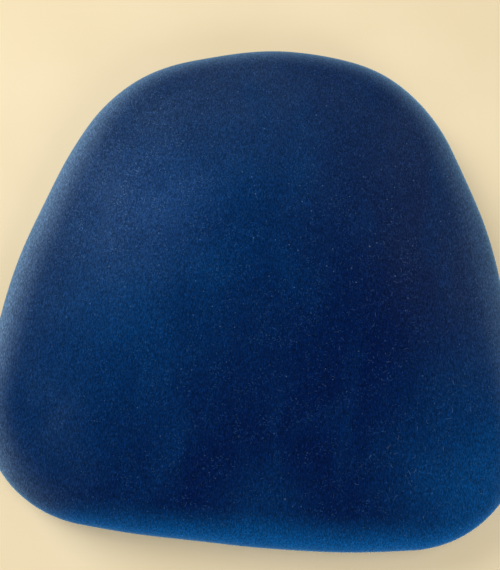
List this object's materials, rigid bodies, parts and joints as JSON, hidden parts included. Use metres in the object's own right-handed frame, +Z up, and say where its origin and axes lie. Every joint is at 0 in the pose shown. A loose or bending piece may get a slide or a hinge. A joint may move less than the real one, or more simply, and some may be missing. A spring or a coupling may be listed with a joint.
{
  "type": "upholstered seat pad",
  "caption": "Board-backed chair seat pad: rounded trapezoid plan, domed velvet top, padded straight sides, threaded inserts and dust cover underneath.",
  "frame": {"origin": "on the resting surface, under the middle of the pad's outline", "axes": "+Z up, -Y towards the wide front edge, +Y towards the narrow rounded back edge, X across"},
  "size_m": [0.403, 0.4, 0.05],
  "materials": {
    "velvet": "dark blue velvet pile, brushed towards the front",
    "wadding": "loose white polyester fibre",
    "foam": "open-cell foam, off-white",
    "plywood": "sanded birch plywood, unsealed",
    "dust_cloth": "black spun-bonded cloth",
    "zinc": "bright zinc-plated steel",
    "staple_steel": "galvanised flat wire"
  },
  "bodies": {
    "root": {"velvet_cover": "velvet", "fibre_wadding": "wadding", "foam_pad": "foam", "seat_board": "plywood", "dust_cover": "dust_cloth", "tee_nut_front_left": "zinc", "tee_nut_front_right": "zinc", "tee_nut_back_left": "zinc", "tee_nut_back_right": "zinc", "cover_staples": "staple_steel", "dust_cover_staples": "staple_steel"}
  },
  "joints": []
}
